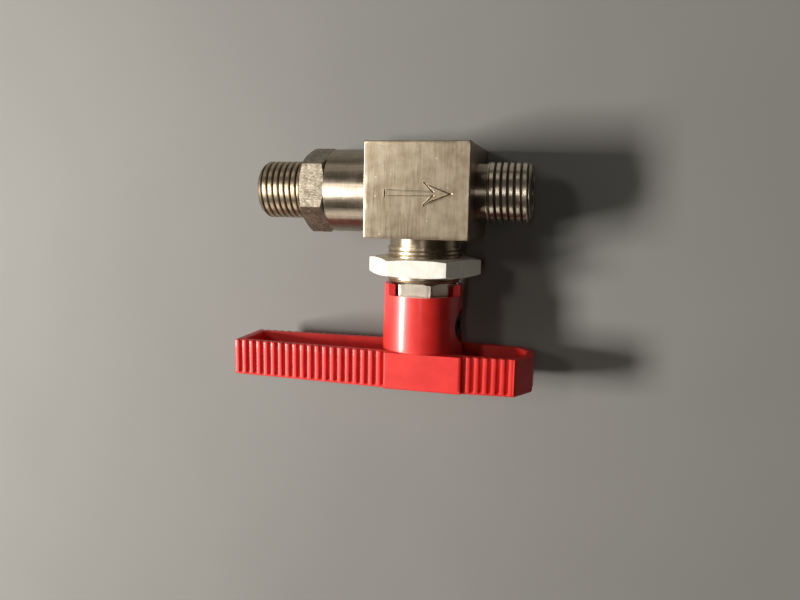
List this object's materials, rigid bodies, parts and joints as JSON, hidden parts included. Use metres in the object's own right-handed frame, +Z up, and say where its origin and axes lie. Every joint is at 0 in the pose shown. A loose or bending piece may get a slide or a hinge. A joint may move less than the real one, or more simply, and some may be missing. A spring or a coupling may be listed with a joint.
{
  "type": "instrument ball valve",
  "caption": "Quarter-turn inline instrument ball valve: square metal body, threaded ends, hexagon connector, panel nut and a ribbed lever.",
  "frame": {"origin": "on the floor under the centre of the bounding box, with the valve lying on the back of its body block", "axes": "+X along the flow towards the outlet, -Y along the stem towards the lever, +Z up"},
  "size_m": [0.0748, 0.0578, 0.03],
  "materials": {
    "plated_steel": "milled and nickel plated, satin, slightly warm, with fine scratches",
    "turned_steel": "turned and nickel plated, brighter along the axis",
    "zinc_plate": "whitish zinc plate, satin, with fine grain",
    "inner_steel": "ground and polished",
    "black_steel": "black oxide, semi-matt",
    "brass": "turned",
    "red_plastic": "moulded, glossy, with light scuffs on its edges",
    "ptfe": "matt white",
    "seal_rubber": "matt black"
  },
  "bodies": {
    "valve": {"valve_body": "plated_steel", "inlet_connector": "turned_steel", "body_o_ring": "seal_rubber", "seat_ring_outlet": "ptfe", "seat_ring_inlet": "ptfe", "seat_spring_washer": "inner_steel", "stem_thrust_washer": "ptfe", "packing_ring_1": "ptfe", "packing_ring_2": "ptfe", "packing_ring_3": "ptfe", "packing_follower": "inner_steel", "disc_spring_1": "inner_steel", "disc_spring_2": "inner_steel", "gland_nut": "turned_steel"},
    "lever": {"lever_handle": "red_plastic", "lever_insert": "brass", "lever_clamp_screw": "black_steel", "stem": "inner_steel", "ball": "inner_steel"},
    "panel_nut": {"panel_nut": "zinc_plate"}
  },
  "joints": [
    {"name": "lever_turn", "type": "hinge", "parent": "valve", "child": "lever", "pos_m": [0.01, -0.012, 0.015], "axis": [0, 1, 0], "range_deg": [0, 90]},
    {"name": "panel_nut_travel", "type": "slide", "parent": "valve", "child": "panel_nut", "axis": [0, 1, 0], "range_m": [-0.0018, 0.0022]}
  ]
}
